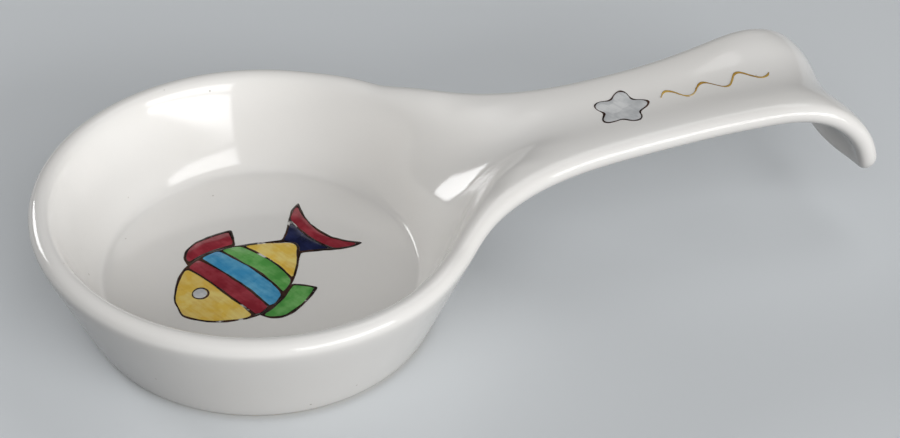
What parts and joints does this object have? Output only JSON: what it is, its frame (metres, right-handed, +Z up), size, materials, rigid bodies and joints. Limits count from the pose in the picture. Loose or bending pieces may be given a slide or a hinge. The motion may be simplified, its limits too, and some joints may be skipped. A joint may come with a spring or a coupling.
{
  "type": "spoon rest",
  "caption": "Round glazed ceramic bowl on a low foot ring, opening into a troughed handle that narrows, widens and curls over at its end, with painted decoration.",
  "frame": {"origin": "on the table under the middle of the whole piece's bounding box", "axes": "+X along the handle, from the bowl towards the curled end; +Z up; +Y to the far side of the picture"},
  "size_m": [0.2332, 0.1198, 0.0463],
  "materials": {
    "fired_clay": "unglazed pale fired clay, dry and fine grained",
    "white_glaze": "glossy warm white glaze",
    "yellow_paint": "brushed yellow colour under a glossy glaze",
    "red_paint": "brushed dark red colour under a glossy glaze",
    "blue_paint": "brushed sky blue colour under a glossy glaze",
    "green_paint": "brushed green colour under a glossy glaze",
    "navy_paint": "brushed navy colour under a glossy glaze",
    "grey_paint": "thin grey wash under a glossy glaze",
    "outline_paint": "drawn brown-black line, slightly raised",
    "gold_paint": "drawn ochre line, slightly raised"
  },
  "bodies": {
    "root": {"biscuit_body": "fired_clay", "glaze_coat": "white_glaze", "base_glaze": "white_glaze", "fish_head": "yellow_paint", "fish_red_band": "red_paint", "fish_blue_band": "blue_paint", "fish_green_band": "green_paint", "fish_yellow_band": "yellow_paint", "fish_navy_tail": "navy_paint", "fish_red_tail": "red_paint", "fish_outline": "outline_paint", "fish_eye_ring": "outline_paint", "fish_eye": "grey_paint", "back_fin_outline": "outline_paint", "back_fin": "red_paint", "belly_fin_outline": "outline_paint", "belly_fin": "green_paint", "handle_star": "grey_paint", "handle_star_outline": "outline_paint", "handle_ripple": "gold_paint"}
  },
  "joints": []
}
